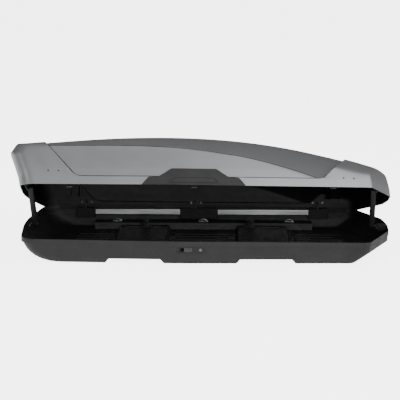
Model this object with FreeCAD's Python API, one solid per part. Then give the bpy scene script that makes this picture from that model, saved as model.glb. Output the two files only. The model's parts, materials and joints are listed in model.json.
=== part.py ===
"""Roof cargo box with a dual-side lid, built as an assembly of separate parts.

Frame: +X points to the nose, +Y to the left side, +Z up.  The origin is the plan
centre of the base on its lowest plane.  Lengths are in millimetres.

The lid and everything fixed to it are drawn in the closed position and then swung
open about the left-hand hinge studs, which is how the box stands at rest.
"""
import FreeCAD, Part
import math
import os
from FreeCAD import Vector

# --- Driving dimensions -------------------------------------------------------
# Plan outline of the lid's lower edge
REAR_X = -1030.0
REAR_CORNER = (-975.0, 438.0)
WIDEST = (-140.0, 460.0)
FRONT_CORNER = (915.0, 436.0)
NOSE_CORNER = (1056.0, 150.0)
NOSE_X = 1068.0
REAR_BOW = 1400.0
REAR_ROUND = 95.0
SIDE_BOW = 6000.0
FRONT_ROUND = 40.0
NOSE_ROUND = 90.0
NOSE_BOW = 400.0

# The rim of the base drops slightly towards the nose
RIM_Z = 127.0
RIM_DROP = 0.35           # degrees
RIM_INSET = 7.5           # lid edge to base rim, in plan
BAND_HEIGHT = 27.0
LID_OVERLAP = 8.0
BASE_WALL = 4.0
LID_WALL = 3.5
BASE_TOP = 110.0          # height where the base wall meets its rim band
BASE_STEPS = 7
BOW_CREASE = 62.0         # height of the crease below the upright nose face

# Lid: drafted side walls under an arched crown that falls towards the nose
CROWN_X = -210.0
CROWN_Z = 449.0
ARCH_POWER = 3.0
# height above the rim, side inset, rear inset, nose inset
LID_LEVELS = [
    (-LID_OVERLAP, 0.0, 0.0, 0.0),
    (36.0, 4.0, -8.0, 5.0),
    (120.0, 15.0, -36.0, 24.0),
    (200.0, 26.0, -62.0, 44.0),
    (245.0, 33.0, -56.0, 58.0),
    (340.0, 50.0, -8.0, 90.0),
]

LID_LEAN = 0.13           # side wall's inward slope
LID_AROUND = 112          # points round the outline
TURN_WEIGHT = 260.0       # outline length that one radian of bend counts for
WALL_STEPS = 7
TOP_STEPS = 7
SPINE = (-800.0, 760.0)   # ends of the crown line

# Handle trim: distance from its middle and height above the rim
TRIM_X = -35.0
TRIM_PROFILE = [
    (0.0, 81.0), (60.0, 81.0), (118.0, 81.0), (126.0, 77.0),
    (184.0, 38.0), (192.0, 36.0), (240.0, 34.0), (246.0, 28.0), (276.0, -6.0),
]

# Braces across the inside of the lid, and the rivets that hold them
MEMBER_X = 790.0
MEMBER_FOOT = 60.0        # lower end of the legs above the rim, over the lid brackets
MEMBER_STEPS = 16         # stations along half a cross member's arch
LEG_STEPS = 4             # stations down each of its legs
RIVETS = ((-818.0, 198.0), (-763.0, 197.0), (763.0, 164.0), (818.0, 161.0))

# Hinge and latch line, the same on both sides
HINGE_Y = 402.0
HINGE_Z = 116.0
LID_OPEN = 21.0           # degrees
BRACKET_XS = (-722.0, -50.0, 696.0)
STUD_R = 5.0
STUD_LENGTH = 26.0
SLEEVE_R = 8.5
SLEEVE_LENGTH = 24.0
RUNNING_GAP = 0.08
SEAT_GAP = 0.3            # between a bracket and the wall it is screwed to
SLIDE_TRAVEL = 28.0
ROD_Z = 98.0
ROD_R = 4.0
TONGUE_X = 5.0
TRAY_HALF = 14.0
TRAY_LOW = 80.0
TRAY_TOP = 122.0
TRAY_WALL = 3.0
TRAY_SPANS = ((-778.0, -660.0), (-143.0, 88.0), (640.0, 762.0))
BAR_HALF = 12.0
BAR_LOW = 84.0
BAR_TOP = 116.0
BAR_WALL = 2.5

# Slide lock in the side wall
LOCK_X = -50.0
LOCK_Z = 80.0
LOCK_LENGTH = 154.0
LOCK_HEIGHT = 39.0
KNOB_LENGTH = 44.0
KEY_OFFSET = 52.0
KEY_R = 8.0

# Lifter arms, one at each end
ARM_LENGTH = 215.0
ARM_LEAN = 9.0            # degrees from upright when the lid is open
ARM_SWING = 66.0          # degrees that the arm folds while the lid closes
ARM_PIN_R = 5.0
ARM_THICK = 16.0
ARM_WEB = 3.0             # plate left behind the arm's pocket
BRACKET_GAP = 13.5        # between the arm and its base bracket, for the spring
ARM_WIDTH = 36.0
REAR_ARM = {"name": "rear", "x": -967.0, "z": 116.0, "lean_x": -15.0, "out": -1}
FRONT_ARM = {"name": "front", "x": 977.0, "z": 112.0, "lean_x": 0.0, "out": 1}

# Foot channels for the roof bars, and the clamps that travel in their slots
CHANNEL_X = 354.0
CHANNEL_FOOT = 160.0
CHANNEL_HEAD = 139.0
CHANNEL_HEIGHT = 25.0
LAND_LENGTH = 80.0        # raised land in each channel that rests on the roof bar
LAND_WIDTH = 120.0
LAND_Z = 22.0
CLAMP_Y = 290.0
SLOT_LENGTH = 210.0
SLOT_WIDTH = 14.0
CLAMP_RESTS = {"rear": -345.0, "front": 285.0}
JAW_PIVOT = 22.0
JAW_REACH = 36.0
JAW_Z = 16.5
JAW_WIDTH = 30.0

RIB_SPANS = ((-735.0, -560.0), (-165.0, 165.0), (545.0, 790.0))
RIB_Z = 9.0
LEDGE_Y = 334.0
LEDGE_Z = 44.0
LOOP_XS = (-523.0, 0.0, 523.0)
SIDES = {"near": -1, "far": 1}
NODES = {}


# --- Helpers ------------------------------------------------------------------
PLANES = {
    "XY": lambda a, b, level: Vector(a, b, level),
    "XZ": lambda a, b, level: Vector(a, level, b),
    "YZ": lambda a, b, level: Vector(level, a, b),
}
NORMALS = {"XY": Vector(0, 0, 1), "XZ": Vector(0, 1, 0), "YZ": Vector(1, 0, 0)}


def rounded_loop(corners, plane="XY", level=0.0):
    """Closed wire through corners (a, b, radius); radius 0 leaves a sharp corner."""
    points = [PLANES[plane](a, b, level) for a, b, _ in corners]
    legs = []
    edges = []
    for index, (_, _, radius) in enumerate(corners):
        here = points[index]
        back = (points[index - 1] - here).normalize()
        ahead = (points[(index + 1) % len(points)] - here).normalize()
        half = back.getAngle(ahead) / 2
        if radius <= 0:
            legs.append((here, here))
            continue
        inward = (back + ahead).normalize()
        reach = radius / math.tan(half)
        middle = here + inward * (radius / math.sin(half) - radius)
        legs.append((here + back * reach, here + ahead * reach))
        edges.append(Part.Arc(legs[-1][0], middle, legs[-1][1]).toShape())
    for index in range(len(legs)):
        start = legs[index - 1][1]
        end = legs[index][0]
        edges.append(Part.LineSegment(start, end).toShape())
    return Part.Wire(Part.__sortEdges__(edges))


def slab(corners, plane, low, high):
    """Solid between two levels with the outline given by its corners."""
    face = Part.Face(rounded_loop(corners, plane, low))
    return face.extrude(NORMALS[plane] * (high - low))


def block(x0, x1, y0, y1, z0, z1):
    """Plain box between the given limits."""
    low = Vector(min(x0, x1), min(y0, y1), min(z0, z1))
    return Part.makeBox(abs(x1 - x0), abs(y1 - y0), abs(z1 - z0), low)


def soft_block(x0, x1, y0, y1, z0, z1, radius):
    """Box with its upright edges rounded."""
    lows = (min(x0, x1), min(y0, y1))
    highs = (max(x0, x1), max(y0, y1))
    corners = [
        (lows[0], lows[1], radius),
        (highs[0], lows[1], radius),
        (highs[0], highs[1], radius),
        (lows[0], highs[1], radius),
    ]
    return slab(corners, "XY", z0, z1)


def rod(radius, start, end):
    """Cylinder from one point to another."""
    return Part.makeCylinder(radius, (end - start).Length, start, end - start)


def tube(outer, inner, start, end):
    """Round tube from one point to another."""
    return rod(outer, start, end).cut(rod(inner, start, end))


def join(shapes):
    """Fuse a list of shapes into one solid."""
    result = shapes[0]
    if len(shapes) > 1:
        result = shapes[0].multiFuse(shapes[1:])
    return result.removeSplitter()


def mirrored(shape, side):
    """Shape as drawn on the left for side +1, or its mirror image for side -1."""
    if side > 0:
        return shape
    return shape.mirror(Vector(0, 0, 0), Vector(0, 1, 0))


def tilt_to_rim(shape):
    """Move a shape drawn on a level rim at z = 0 to the sloping rim."""
    shape.rotate(Vector(0, 0, 0), Vector(0, 1, 0), RIM_DROP)
    shape.translate(Vector(0, 0, RIM_Z))
    return shape


def rim_height(x):
    """Height of the rim plane at a given length."""
    return RIM_Z - math.tan(math.radians(RIM_DROP)) * x


def opened(shape):
    """Swing a closed lid part to the open rest position."""
    shape.rotate(Vector(0, HINGE_Y, HINGE_Z), Vector(1, 0, 0), -LID_OPEN)
    return shape


def keep(name, shape):
    """Record a node's finished shape."""
    NODES[name] = shape


def plan_corners(inset=0.0, rear_in=0.0, nose_in=0.0):
    """Corners of the plan outline, moved in at the sides, rear and nose."""
    half = [
        (REAR_CORNER[0] + rear_in, REAR_CORNER[1] - inset, REAR_ROUND),
        (WIDEST[0], WIDEST[1] - inset, SIDE_BOW),
        (FRONT_CORNER[0] - nose_in, FRONT_CORNER[1] - inset, FRONT_ROUND),
        (NOSE_CORNER[0] - nose_in, NOSE_CORNER[1] - inset / 2, NOSE_ROUND),
    ]
    left = list(half)
    right = [(x, -y, radius) for x, y, radius in reversed(half)]
    nose = [(NOSE_X - nose_in, 0.0, NOSE_BOW)]
    rear = [(REAR_X + rear_in, 0.0, REAR_BOW)]
    far_side = [(x, -y, radius) for x, y, radius in left]
    near_side = [(x, -y, radius) for x, y, radius in right]
    return rear + far_side + nose + near_side


def plan_stack(levels):
    """Ruled solid through plan outlines (height, inset, rear_in, nose_in)."""
    wires = [rounded_loop(plan_corners(*level[1:]), "XY", level[0]) for level in levels]
    return Part.makeLoft(wires, True, True)


# --- Base shell -----------------------------------------------------------------
def base_levels(wall):
    """Plan levels of the base below its rim: a rounded foot, then a drafted wall."""
    levels = []
    for step in range(BASE_STEPS + 1):
        angle = math.pi / 2 * step / BASE_STEPS
        rise = 1 - math.cos(angle)
        run = 1 - math.sin(angle)
        height = wall + (BASE_TOP - wall) * rise
        side = 12.0 + 7.0 * (1 - rise) + 14.0 * run
        rear = 15.0 + 20.0 * (1 - rise) + 120.0 * run
        nose = 11.0 + 84.0 * max(0.0, 1 - height / BOW_CREASE)
        levels.append((height, side + wall, rear + wall, nose + wall))
    return levels


def base_inside(wall):
    """Space inside the base tray, up past its rim, for a wall of the given thickness."""
    rim_in = RIM_INSET + wall
    mouth = plan_stack([
        (-BAND_HEIGHT + 2.0, rim_in, rim_in, rim_in),
        (40.0, rim_in, rim_in, rim_in),
    ])
    return plan_stack(base_levels(wall)).fuse(tilt_to_rim(mouth))


def foot_channel(x, grow):
    """Prism across the box that forms a roof-bar channel in the underside."""
    corners = [
        (x - CHANNEL_FOOT - grow, -1.0, 0),
        (x + CHANNEL_FOOT + grow, -1.0, 0),
        (x + CHANNEL_HEAD + grow, CHANNEL_HEIGHT + grow, 6),
        (x - CHANNEL_HEAD - grow, CHANNEL_HEIGHT + grow, 6),
    ]
    return slab(corners, "XZ", -500, 500)


def base_shell(wall_slots):
    """One-piece base tray with rim band, foot channels, side ledges and floor ribs."""
    band = plan_stack([
        (-BAND_HEIGHT, RIM_INSET, RIM_INSET, RIM_INSET),
        (0.0, RIM_INSET, RIM_INSET, RIM_INSET),
    ])
    outer = plan_stack(base_levels(0.0)).fuse(tilt_to_rim(band))
    cavity = base_inside(BASE_WALL)
    for x in (-CHANNEL_X, CHANNEL_X):
        outer = outer.cut(foot_channel(x, 0.0))
        outer = outer.fuse(block(x - LAND_LENGTH / 2, x + LAND_LENGTH / 2, -LAND_WIDTH / 2,
                                 LAND_WIDTH / 2, LAND_Z, CHANNEL_HEIGHT + 1))
        cavity = cavity.cut(foot_channel(x, BASE_WALL))
    for side in SIDES.values():
        ledge = slab([
            (side * LEDGE_Y, -1.0, 0),
            (side * (LEDGE_Y + 12), LEDGE_Z, 5),
            (side * 520, LEDGE_Z, 0),
            (side * 520, -1.0, 0),
        ], "YZ", -660, 660)
        cavity = cavity.cut(ledge)
    for rib in range(8):
        y = -210.0 + 60.0 * rib
        point = 24.0 * (1 if rib % 2 else -1)
        for x0, x1 in RIB_SPANS:
            cavity = cavity.cut(slab([
                (x0, y - 7, 2),
                (x1 + point, y - 7, 2),
                (x1 + point + 12, y, 2),
                (x1 + point, y + 7, 2),
                (x0, y + 7, 2),
                (x0 - 12, y, 2),
            ], "XY", 0, RIB_Z))
    shell = outer.cut(cavity)
    for x in (-CHANNEL_X, CHANNEL_X):
        for side in SIDES.values():
            y = side * CLAMP_Y
            slot = soft_block(x - SLOT_LENGTH / 2, x + SLOT_LENGTH / 2,
                              y - SLOT_WIDTH / 2, y + SLOT_WIDTH / 2, 20, 36, SLOT_WIDTH / 2.2)
            shell = shell.cut(slot)
    return shell.cut(wall_slots).removeSplitter()


# --- Lid shell ------------------------------------------------------------------
def crown_height(x):
    """Height of the closed lid along its centre line."""
    if x < CROWN_X:
        return CROWN_Z - 74.0 * ((CROWN_X - x) / 860.0) ** 2
    return CROWN_Z - 171.0 * ((x - CROWN_X) / 1150.0) ** 2.26


def shoulder_height(x):
    """Height of the crease between the side wall and the top."""
    drop = 186.0 * (max(0.0, x + 620.0) / 1266.0) ** 2.7
    return max(192.0, 348.0 - drop)


def side_half_width(x):
    """Half width of the lid's lower edge, with the side line carried past the ends."""
    if x < WIDEST[0]:
        slope = (WIDEST[1] - REAR_CORNER[1]) / (WIDEST[0] - REAR_CORNER[0])
    else:
        slope = (FRONT_CORNER[1] - WIDEST[1]) / (FRONT_CORNER[0] - WIDEST[0])
    return WIDEST[1] + slope * (x - WIDEST[0])


def top_height(x, y, depth):
    """Height of the top surface over a plan point, a given depth below the skin."""
    shoulder = shoulder_height(x)
    width = side_half_width(x) - LID_LEAN * (shoulder - rim_height(x)) - depth
    rise = crown_height(x) - shoulder
    return shoulder + rise * (1 - (abs(y) / width) ** ARCH_POWER) - depth


def outline_points(corners, count):
    """Matching points round an outline, mirrored about its centre line.

    The points are spaced by length plus a share for turning, so they crowd
    where the outline bends.
    """
    loop = rounded_loop(corners).discretize(Number=1600)
    left = [p for p in loop if p.y > 0.01]
    left.sort(key=lambda p: -math.atan2(p.y, p.x))
    left = [Vector(left[0].x, 0, 0)] + left + [Vector(left[-1].x, 0, 0)]
    marks = [0.0]
    heading = math.pi / 2
    for before, here in zip(left, left[1:]):
        step = here - before
        turn = abs(math.atan2(step.y, step.x) - heading)
        heading = math.atan2(step.y, step.x)
        marks.append(marks[-1] + step.Length + TURN_WEIGHT * turn)
    half = []
    index = 0
    for number in range(count // 2 + 1):
        goal = marks[-1] * number / (count // 2)
        while index < len(marks) - 2 and marks[index + 1] < goal:
            index += 1
        share = (goal - marks[index]) / (marks[index + 1] - marks[index])
        half.append(left[index] + (left[index + 1] - left[index]) * min(1.0, share))
    mirror = [Vector(p.x, -p.y, 0) for p in half[1:-1]]
    return mirror[::-1] + [half[0]] + half[1:]


def lid_walls(depth):
    """Plan outlines of the side wall at each level, as loops of matching points."""
    loops = []
    for height, inset, rear, nose in LID_LEVELS:
        points = outline_points(plan_corners(inset + depth, rear + depth, nose + depth), LID_AROUND)
        loops.append([Vector(p.x, p.y, height + rim_height(p.x)) for p in points])
    return loops


def climb(loops, index, fraction):
    """Point on the side wall above one outline point, as a fraction of all levels."""
    place = fraction * (len(loops) - 1)
    level = min(int(place), len(loops) - 2)
    low, high = loops[level][index], loops[level + 1][index]
    return low + (high - low) * (place - level)


def lid_rings(depth):
    """Rings of points from the lid's lower edge, up the wall and over the crown."""
    loops = lid_walls(depth)
    rings = [[] for _ in range(WALL_STEPS + TOP_STEPS + 1)]
    for index in range(LID_AROUND):
        low, high = 0.2, 1.0
        for _ in range(30):
            middle = (low + high) / 2
            point = climb(loops, index, middle)
            if point.z < top_height(point.x, point.y, depth):
                low = middle
            else:
                high = middle
        for step in range(WALL_STEPS + 1):
            rings[step].append(climb(loops, index, low * step / WALL_STEPS))
        edge = climb(loops, index, low)
        spine_x = min(max(edge.x, SPINE[0]), SPINE[1])
        for step in range(1, TOP_STEPS + 1):
            share = (step / TOP_STEPS) ** 1.4
            x = edge.x + (spine_x - edge.x) * share
            y = edge.y * (1 - share)
            rings[WALL_STEPS + step].append(Vector(x, y, top_height(x, y, depth)))
    return rings


def faceted_solid(points, facets):
    """Solid from shared points and triangles, leaving out triangles with no area."""
    places = {}
    shared = []
    numbers = []
    for point in points:
        key = (round(point.x, 3), round(point.y, 3), round(point.z, 3))
        if key not in places:
            places[key] = len(shared)
            shared.append(Vector(*key))
        numbers.append(places[key])
    kept = [tuple(numbers[i] for i in facet) for facet in facets]
    kept = [facet for facet in kept if len(set(facet)) == 3]
    shape = Part.Shape()
    shape.makeShapeFromMesh((shared, kept), 0.001)
    return Part.Solid(shape)


def grid_facets(rows, columns, wrap, offset, flip):
    """Triangles of a grid of numbered points, closed round in columns if wrap is set."""
    facets = []
    for row in range(rows - 1):
        for column in range(columns if wrap else columns - 1):
            after = (column + 1) % columns
            a = offset + row * columns + column
            b = offset + row * columns + after
            c = offset + (row + 1) * columns + after
            d = offset + (row + 1) * columns + column
            pair = [(a, b, c), (a, c, d)]
            facets += [facet[::-1] for facet in pair] if flip else pair
    return facets


def lid_shell():
    """Lid moulding: outer and inner skins joined along the lower edge."""
    outer = lid_rings(0.0)
    inner = lid_rings(LID_WALL)
    points = [p for ring in outer for p in ring] + [p for ring in inner for p in ring]
    half = len(points) // 2
    facets = grid_facets(len(outer), LID_AROUND, True, 0, False)
    facets += grid_facets(len(inner), LID_AROUND, True, half, True)
    for column in range(LID_AROUND):
        after = (column + 1) % LID_AROUND
        facets += [(column, half + column, half + after), (column, half + after, after)]
    return faceted_solid(points, facets)


def wall_y(x, z, depth):
    """Half width of the lid's side wall at a height, a given depth below the skin."""
    height = z - rim_height(x)
    for low, high in zip(LID_LEVELS, LID_LEVELS[1:]):
        if height <= high[0]:
            share = (height - low[0]) / (high[0] - low[0])
            inset = low[1] + (high[1] - low[1]) * share
            break
    bow = 2.4 * math.exp(-((x - WIDEST[0]) / 120.0) ** 2)
    return side_half_width(x) - inset - depth - bow


def plate_between(near_rows, far_rows):
    """Solid between two matching grids of points."""
    rows = len(near_rows)
    columns = len(near_rows[0])
    points = [p for row in near_rows for p in row] + [p for row in far_rows for p in row]
    half = rows * columns
    facets = grid_facets(rows, columns, False, 0, False)
    facets += grid_facets(rows, columns, False, half, True)
    rim = [column for column in range(columns)]
    rim += [row * columns + columns - 1 for row in range(1, rows)]
    rim += [(rows - 1) * columns + column for column in range(columns - 2, -1, -1)]
    rim += [row * columns for row in range(rows - 2, 0, -1)]
    for index, number in enumerate(rim):
        after = rim[(index + 1) % len(rim)]
        facets += [(number, half + number, half + after), (number, half + after, after)]
    return faceted_solid(points, facets)


def handle_trim(side):
    """Handle trim plate that follows the lid's side wall, with its finger recess."""
    stations = [(-s, t) for s, t in reversed(TRIM_PROFILE[1:])] + TRIM_PROFILE
    rows = {1.3: [], 5.3: []}
    for depth, grid in rows.items():
        for step in range(7):
            line = []
            for station, top in stations:
                x = TRIM_X + station
                low = rim_height(x) - LID_OVERLAP
                z = low + (top + LID_OVERLAP) * step / 6
                line.append(Vector(x, side * wall_y(x, z, -depth), z))
            grid.append(line)
    plate = plate_between(rows[1.3], rows[5.3])
    low = rim_height(TRIM_X)
    cut = slab([
        (TRIM_X - 131, low + 5, 4),
        (TRIM_X - 108, low + 31, 8),
        (TRIM_X + 108, low + 31, 8),
        (TRIM_X + 131, low + 5, 4),
    ], "XZ", side * 380, side * 520)
    return plate.cut(cut)


def member_rivets():
    """Rivet heads on the lid's side walls, two at each end of each cross member."""
    heads = []
    for side in SIDES.values():
        for x, z in RIVETS:
            start = Vector(x, side * wall_y(x, z, -1.0), z)
            heads.append(rod(4.5, start, start + Vector(0, side * 2.0, 0)))
    return Part.makeCompound(heads)


def cross_member(x):
    """Hat-section brace across the inside of the lid, following its inner skin."""
    near_rows, far_rows = [], []
    profile = ((-45, 1.0), (-26, 1.0), (-20, 18.0), (20, 18.0), (26, 1.0), (45, 1.0))
    for offset, drop in profile:
        station = x + offset
        depth = LID_WALL + drop + 1.5
        foot = rim_height(station) + MEMBER_FOOT
        half = []
        for step in range(MEMBER_STEPS + 1):
            y = wall_y(station, foot + 60, depth) * math.sin(math.pi / 2 * step / MEMBER_STEPS)
            z = max(top_height(station, y, depth), foot)
            half.append((min(y, wall_y(station, z, depth)), z))
        knee = half[-1][1]
        for step in range(1, LEG_STEPS + 1):
            z = knee + (foot - knee) * step / LEG_STEPS
            half.append((wall_y(station, z, depth), z))
        upper = [Vector(station, -y, z) for y, z in reversed(half[1:])]
        upper += [Vector(station, y, z) for y, z in half]
        near_rows.append(upper)
        far_rows.append([Vector(station, p.y * 0.993, p.z - 2.5) for p in upper])
    return plate_between(near_rows, far_rows)


# --- Hinge, latch and lock parts ----------------------------------------------------
def lid_bracket(x):
    """Bracket on the lid's inner wall with an L-shaped tongue that holds the stud."""
    wall = wall_y(x, HINGE_Z + 60, LID_WALL) - 1.5
    eye = rod(STUD_R + 3.0, Vector(x, HINGE_Y, HINGE_Z), Vector(x + TONGUE_X, HINGE_Y, HINGE_Z))
    tongue = slab([
        (HINGE_Y - 8, HINGE_Z, 0),
        (HINGE_Y + 8, HINGE_Z, 0),
        (HINGE_Y + 8, HINGE_Z + 36, 0),
        (wall - 1, HINGE_Z + 36, 0),
        (wall - 1, HINGE_Z + 50, 0),
        (HINGE_Y - 8, HINGE_Z + 50, 8),
    ], "YZ", x, x + TONGUE_X)
    plate = block(x - 36, x + 41, wall - 3.5, wall, HINGE_Z + 34, HINGE_Z + 60)
    body = join([eye, tongue, plate])
    return body.cut(rod(STUD_R, Vector(x - 1, HINGE_Y, HINGE_Z), Vector(x + 9, HINGE_Y, HINGE_Z)))


def bracket_screws(x):
    """Two pan-head screws on a lid bracket."""
    wall = wall_y(x, HINGE_Z + 60, LID_WALL) - 5.0
    heads = []
    for offset in (-27.0, 32.0):
        centre = Vector(x + offset, wall, HINGE_Z + 47)
        heads.append(rod(5.0, centre - Vector(0, 3.0, 0), centre))
    return heads


def hinge_stud(x):
    """Steel stud that the latch sleeve slides over."""
    start = Vector(x, HINGE_Y, HINGE_Z)
    return rod(STUD_R, start, start + Vector(TONGUE_X + STUD_LENGTH, 0, 0))


def latch_sleeve(x):
    """Sleeve, web and hub that ride on the actuator rod; drawn in the latched place."""
    start = x + TONGUE_X + 1.0
    end = start + SLEEVE_LENGTH
    sleeve = rod(SLEEVE_R, Vector(start, HINGE_Y, HINGE_Z), Vector(end, HINGE_Y, HINGE_Z))
    web = block(start, end, HINGE_Y - 3, HINGE_Y + 3, ROD_Z, HINGE_Z)
    hub = rod(ROD_R + 2.5, Vector(start, HINGE_Y, ROD_Z), Vector(end, HINGE_Y, ROD_Z))
    bore = rod(STUD_R + RUNNING_GAP, Vector(start - 1, HINGE_Y, HINGE_Z),
               Vector(end + 1, HINGE_Y, HINGE_Z))
    seat = rod(ROD_R, Vector(start - 1, HINGE_Y, ROD_Z), Vector(end + 1, HINGE_Y, ROD_Z))
    return join([sleeve, web, hub]).cut(bore).cut(seat)


def latch_tray(x0, x1, bracket_x, deep):
    """Open housing that the sleeve and rod run in, notched for the lid tongue."""
    low = TRAY_LOW - deep
    tray = soft_block(x0, x1, HINGE_Y - TRAY_HALF, HINGE_Y + TRAY_HALF, low, TRAY_TOP, 4)
    inner = TRAY_HALF - TRAY_WALL
    hollow = block(x0 + TRAY_WALL, x1 - TRAY_WALL, HINGE_Y - inner, HINGE_Y + inner,
                   low + TRAY_WALL, TRAY_TOP + 1)
    notch = block(bracket_x - 4, bracket_x + TONGUE_X + 4, HINGE_Y + inner - 1,
                  HINGE_Y + TRAY_HALF + 1, HINGE_Z - 16, TRAY_TOP + 1)
    passage = rod(ROD_R + 0.5, Vector(x0 - 1, HINGE_Y, ROD_Z), Vector(x1 + 1, HINGE_Y, ROD_Z))
    return tray.cut(hollow).cut(notch).cut(passage)


def guide_bar(x0, x1):
    """Hollow aluminium section between two housings, around the rod."""
    outer = slab([
        (HINGE_Y - BAR_HALF, BAR_LOW, 3),
        (HINGE_Y + BAR_HALF, BAR_LOW, 3),
        (HINGE_Y + BAR_HALF, BAR_TOP, 3),
        (HINGE_Y - BAR_HALF, BAR_TOP, 3),
    ], "YZ", x0, x1)
    half = BAR_HALF - BAR_WALL
    inner = block(x0 - 1, x1 + 1, HINGE_Y - half, HINGE_Y + half,
                  BAR_LOW + BAR_WALL, BAR_TOP - BAR_WALL)
    groove = block(x0 - 1, x1 + 1, HINGE_Y - BAR_HALF - 1, HINGE_Y - BAR_HALF + 1.2,
                   ROD_Z - 1, ROD_Z + 6)
    return outer.cut(inner).cut(groove)


def wall_face_y():
    """Outer face of the base side wall at the lock's height, near mid length."""
    return WIDEST[1] - 17.5


def lock_parts(side, shift):
    """Bezel, slide knob and key barrel of one side; shift moves the knob along X."""
    face = wall_face_y()
    x0 = LOCK_X - LOCK_LENGTH / 2
    x1 = LOCK_X + LOCK_LENGTH / 2
    z0 = LOCK_Z - LOCK_HEIGHT / 2
    z1 = LOCK_Z + LOCK_HEIGHT / 2
    bezel = slab([(x0, z0, 6), (x1, z0, 6), (x1, z1, 6), (x0, z1, 6)], "XZ", face - 16, face + 2)
    window_x = (x0 + 12, x0 + 12 + KNOB_LENGTH + SLIDE_TRAVEL + 2)
    well = slab([
        (window_x[0], z0 + 7, 3),
        (window_x[1], z0 + 7, 3),
        (window_x[1], z1 - 7, 3),
        (window_x[0], z1 - 7, 3),
    ], "XZ", face - 9, face + 3)
    arm_slot = block(window_x[0] + 10, window_x[1] - 10, face - 20, face + 3,
                     LOCK_Z - 7, LOCK_Z + 7)
    key_x = LOCK_X + KEY_OFFSET
    key_bore = rod(KEY_R + RUNNING_GAP, Vector(key_x, face - 12, LOCK_Z),
                   Vector(key_x, face + 3, LOCK_Z))
    bezel = bezel.cut(well).cut(arm_slot).cut(key_bore)
    knob_x = window_x[0] + 1 + shift
    knob = slab([
        (knob_x, z0 + 8, 2),
        (knob_x + KNOB_LENGTH, z0 + 8, 2),
        (knob_x + KNOB_LENGTH, z1 - 8, 2),
        (knob_x, z1 - 8, 2),
    ], "XZ", face - 8.5, face + 1)
    grip_x = knob_x + KNOB_LENGTH / 2
    for offset in (-12, 0, 12):
        ridge = block(grip_x + offset - 2, grip_x + offset + 2, face, face + 4, z0 + 11, z1 - 11)
        knob = knob.fuse(ridge)
    lever = block(grip_x - 9, grip_x + 9, HINGE_Y + 1, face - 8, LOCK_Z - 5, LOCK_Z + 5)
    riser = block(grip_x - 9, grip_x + 9, HINGE_Y - 7, HINGE_Y + 7, LOCK_Z - 5, ROD_Z + 7)
    seat = rod(ROD_R, Vector(grip_x - 10, HINGE_Y, ROD_Z), Vector(grip_x + 10, HINGE_Y, ROD_Z))
    knob = join([knob, lever, riser]).cut(seat)
    barrel = rod(KEY_R, Vector(key_x, face - 11.9, LOCK_Z), Vector(key_x, face + 2.5, LOCK_Z))
    keyway = block(key_x - 0.8, key_x + 0.8, face - 4, face + 3, LOCK_Z - 4.5, LOCK_Z + 4.5)
    barrel = barrel.cut(keyway)
    return [mirrored(shape, side) for shape in (bezel, knob, barrel)]


def lock_openings():
    """Everything that the base wall gives up for the two slide locks."""
    face = wall_face_y()
    x0 = LOCK_X - LOCK_LENGTH / 2
    z0 = LOCK_Z - LOCK_HEIGHT / 2
    hole = slab([
        (x0, z0, 6),
        (x0 + LOCK_LENGTH, z0, 6),
        (x0 + LOCK_LENGTH, z0 + LOCK_HEIGHT, 6),
        (x0, z0 + LOCK_HEIGHT, 6),
    ], "XZ", face - 16, face + 20)
    return hole.fuse(mirrored(hole, -1))


def side_mechanism(side_name):
    """All hinge, latch and lock nodes of one side of the box."""
    side = SIDES[side_name]
    latched = side > 0
    shift = 0.0 if latched else SLIDE_TRAVEL
    brackets = [mirrored(lid_bracket(x), side) for x in BRACKET_XS]
    keep(side_name + "_lid_brackets", opened(Part.makeCompound(brackets)))
    screws = [mirrored(head, side) for x in BRACKET_XS for head in bracket_screws(x)]
    keep(side_name + "_bracket_screws", opened(Part.makeCompound(screws)))
    studs = [mirrored(hinge_stud(x), side) for x in BRACKET_XS]
    keep(side_name + "_hinge_studs", opened(Part.makeCompound(studs)))
    sleeves = [mirrored(latch_sleeve(x), side) for x in BRACKET_XS]
    sleeves = Part.makeCompound(sleeves)
    sleeves.translate(Vector(shift, 0, 0))
    keep(side_name + "_latch_sleeves", sleeves)
    rod_ends = (BRACKET_XS[0] - 6 + shift, BRACKET_XS[2] + TONGUE_X + SLEEVE_LENGTH + 1 + shift)
    run = rod(ROD_R, Vector(rod_ends[0], HINGE_Y, ROD_Z), Vector(rod_ends[1], HINGE_Y, ROD_Z))
    keep(side_name + "_slide_rod", mirrored(run, side))
    trays = []
    for index, (x0, x1) in enumerate(TRAY_SPANS):
        deep = 22.0 if index == 1 else 16.0
        trays.append(latch_tray(x0, x1, BRACKET_XS[index], deep))
    bezel, knob, barrel = lock_parts(side, shift)
    lever_path = block(LOCK_X - LOCK_LENGTH / 2 + 14, LOCK_X + 30, HINGE_Y, HINGE_Y + 40,
                       LOCK_Z - 7, LOCK_Z + 7)
    trays[1] = trays[1].cut(lever_path)
    keep(side_name + "_latch_housings", Part.makeCompound([mirrored(t, side) for t in trays]))
    gaps = ((TRAY_SPANS[0][1], TRAY_SPANS[1][0]), (TRAY_SPANS[1][1], TRAY_SPANS[2][0]))
    bars = [mirrored(guide_bar(x0, x1), side) for x0, x1 in gaps]
    keep(side_name + "_guide_bars", Part.makeCompound(bars))
    keep(side_name + "_lock_bezel", bezel)
    keep(side_name + "_slide_knob", knob)
    keep(side_name + "_key_barrel", barrel)


# --- Lifter arms ----------------------------------------------------------------------
def arm_end(arm, fraction):
    """Arm pin (y, z) in the closed lid's frame, from open (0) to closed (1)."""
    lean = math.radians(ARM_LEAN + ARM_SWING * fraction)
    y = -ARM_LENGTH * math.sin(lean) - HINGE_Y
    z = arm["z"] + ARM_LENGTH * math.cos(lean) - HINGE_Z
    turn = math.radians(LID_OPEN * (1 - fraction))
    return (HINGE_Y + y * math.cos(turn) - z * math.sin(turn),
            HINGE_Z + y * math.sin(turn) + z * math.cos(turn))


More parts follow.
